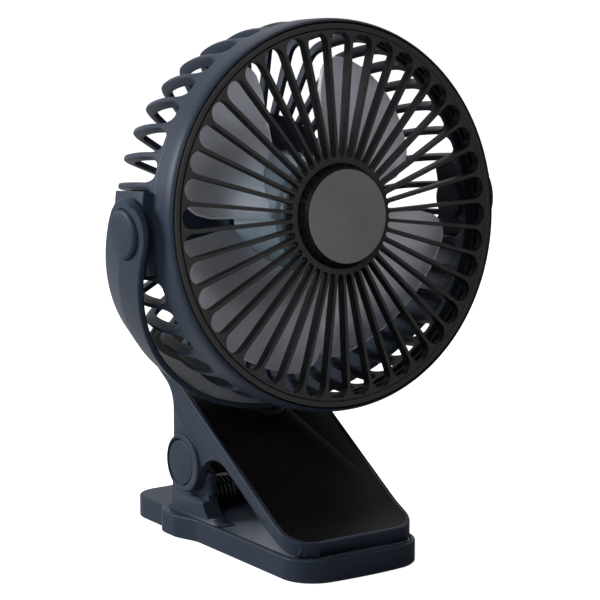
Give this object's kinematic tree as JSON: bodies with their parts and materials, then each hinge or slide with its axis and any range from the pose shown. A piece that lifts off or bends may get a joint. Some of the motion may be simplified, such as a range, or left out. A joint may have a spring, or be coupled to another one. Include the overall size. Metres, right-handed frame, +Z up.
{
  "type": "clip fan",
  "caption": "Small round fan in a swivelling, tilting yoke on a sprung clip base, with a slotted front grille and a ribbed rear cage.",
  "frame": {"origin": "middle of the lower jaw's underside, on the surface it stands on", "axes": "+X to the right seen from the front, +Y to the back, +Z up; the grille faces -Y"},
  "size_m": [0.1628, 0.124, 0.2048],
  "materials": {
    "slate_shell": "satin moulded",
    "warm_grey_face": "matte moulded",
    "gloss_panel": "high gloss",
    "grey_plate": "smooth",
    "smoke_blade": "gloss",
    "black_rubber": "soft matte",
    "spring_steel": "black oxide",
    "zinc_steel": "zinc plated",
    "motor_can": "plated",
    "board_green": "solder mask",
    "cell_wrap": "film wrap",
    "lamp_clear": "clear"
  },
  "bodies": {
    "base": {"lower_jaw": "slate_shell", "lower_jaw_plate": "grey_plate", "plate_screw": "zinc_steel", "foot_pad": "black_rubber", "spring_arbor": "spring_steel", "torsion_spring": "spring_steel"},
    "lever": {"upper_jaw": "slate_shell", "upper_jaw_panel": "gloss_panel", "upper_jaw_pad": "black_rubber", "hinge_caps": "slate_shell", "hinge_pin": "zinc_steel", "swivel_washer": "zinc_steel", "swivel_screw": "zinc_steel"},
    "yoke_frame": {"yoke": "slate_shell", "yoke_caps": "slate_shell"},
    "head": {"bezel_ring": "warm_grey_face", "front_band": "slate_shell", "front_grille": "warm_grey_face", "hub_cap": "warm_grey_face", "rear_cage": "slate_shell", "rear_cover": "slate_shell", "circuit_board": "board_green", "usb_inlet": "zinc_steel", "status_lamp": "lamp_clear", "battery": "cell_wrap", "motor_body": "motor_can", "pivot_washers": "zinc_steel", "pivot_screws": "zinc_steel"},
    "rotor": {"impeller": "smoke_blade", "motor_shaft": "zinc_steel"},
    "button": {"power_button": "slate_shell"}
  },
  "joints": [
    {"name": "jaw_open", "type": "hinge", "parent": "base", "child": "lever", "pos_m": [0, 0.022, 0.03], "axis": [-1, 0, 0], "range_deg": [0, 30], "stiffness_Nm_per_rad": 0.9, "springref_deg": -28.65, "deforming": ["torsion_spring"]},
    {"name": "yoke_swivel", "type": "hinge", "parent": "lever", "child": "yoke_frame", "pos_m": [0, -0.02181, 0.13057], "axis": [0, -0.3827, 0.9239], "continuous": true},
    {"name": "head_tilt", "type": "hinge", "parent": "yoke_frame", "child": "head", "pos_m": [0, -0.02181, 0.13057], "axis": [1, 0, 0], "range_deg": [-90, 90]},
    {"name": "impeller_spin", "type": "hinge", "parent": "head", "child": "rotor", "pos_m": [0, -0.02181, 0.13057], "axis": [0, -0.9945, 0.1045], "continuous": true},
    {"name": "button_press", "type": "slide", "parent": "head", "child": "button", "axis": [0, -0.9945, 0.1045], "range_m": [0, 0.0008], "stiffness_N_per_m": 400, "springref_m": -0.0006}
  ]
}
